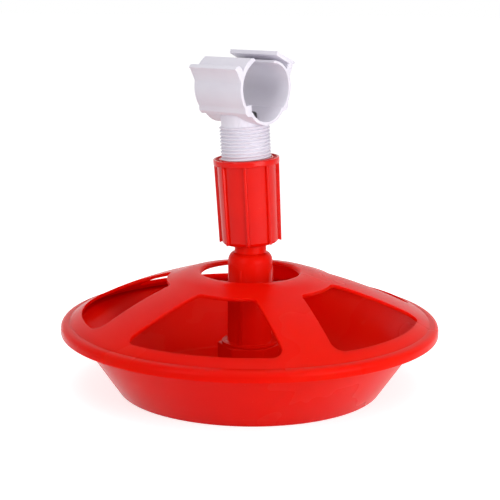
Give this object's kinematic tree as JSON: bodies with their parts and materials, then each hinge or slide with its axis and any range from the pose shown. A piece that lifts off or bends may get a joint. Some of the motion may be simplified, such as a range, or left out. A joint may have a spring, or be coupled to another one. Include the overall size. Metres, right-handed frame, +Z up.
{
  "type": "hanging poultry drinker",
  "caption": "Round drinking bowl under a spoked guard, hung from a water pipe by a column, a spring valve in a ribbed adjusting sleeve and a clip-on pipe saddle.",
  "frame": {"origin": "centre of the bowl's flat underside, on the bowl's axis", "axes": "+Z up along the bowl's and the column's axis; the front faces -Y; the sleeve and the saddle lean 3.43 degrees from +Z towards -X"},
  "size_m": [0.2, 0.2, 0.1796],
  "materials": {
    "red_plastic": "glossy moulded red",
    "white_plastic": "satin moulded white",
    "black_rubber": "matte",
    "spring_steel": "bright drawn"
  },
  "bodies": {
    "bowl_body": {"bowl": "red_plastic", "guard": "red_plastic", "column": "red_plastic", "foot_seal": "black_rubber", "column_head": "white_plastic", "valve_rod": "spring_steel", "poppet": "white_plastic", "poppet_washer": "black_rubber"},
    "washer_body": {"head_washer": "white_plastic"},
    "spring_body": {"valve_spring": "spring_steel"},
    "saddle_body": {"pipe_saddle": "white_plastic", "valve_seat": "white_plastic", "seat_seal": "black_rubber", "saddle_gasket": "black_rubber"},
    "lower_washer_body": {"lower_washer": "spring_steel"},
    "sleeve_body": {"sleeve": "red_plastic"}
  },
  "joints": [
    {"name": "bowl_swivel", "type": "hinge", "parent": "bowl_body", "child": "washer_body", "pos_m": [0, 0, 0.0801], "axis": [0, 0, 1], "continuous": true},
    {"name": "bowl_swing", "type": "hinge", "parent": "washer_body", "child": "spring_body", "pos_m": [0, 0, 0.0801], "axis": [0, 1, 0], "range_deg": [0, 6.86]},
    {"name": "valve_travel", "type": "slide", "parent": "spring_body", "child": "saddle_body", "axis": [-0.0598, 0, 0.9982], "range_m": [0, 0.004], "stiffness_N_per_m": 1200, "springref_m": -0.002, "deforming": ["valve_spring"]},
    {"name": "sleeve_lift", "type": "slide", "parent": "saddle_body", "child": "lower_washer_body", "axis": [-0.0598, 0, 0.9982], "range_m": [-0.00182, 0.00364]},
    {"name": "sleeve_turn", "type": "hinge", "parent": "lower_washer_body", "child": "sleeve_body", "pos_m": [0, 0, 0.0801], "axis": [-0.0598, 0, 0.9982], "range_deg": [-360, 720]}
  ],
  "couplings": [
    {"joint": "sleeve_lift", "follows": "sleeve_turn", "m_per_rad": 0.00028871}
  ]
}
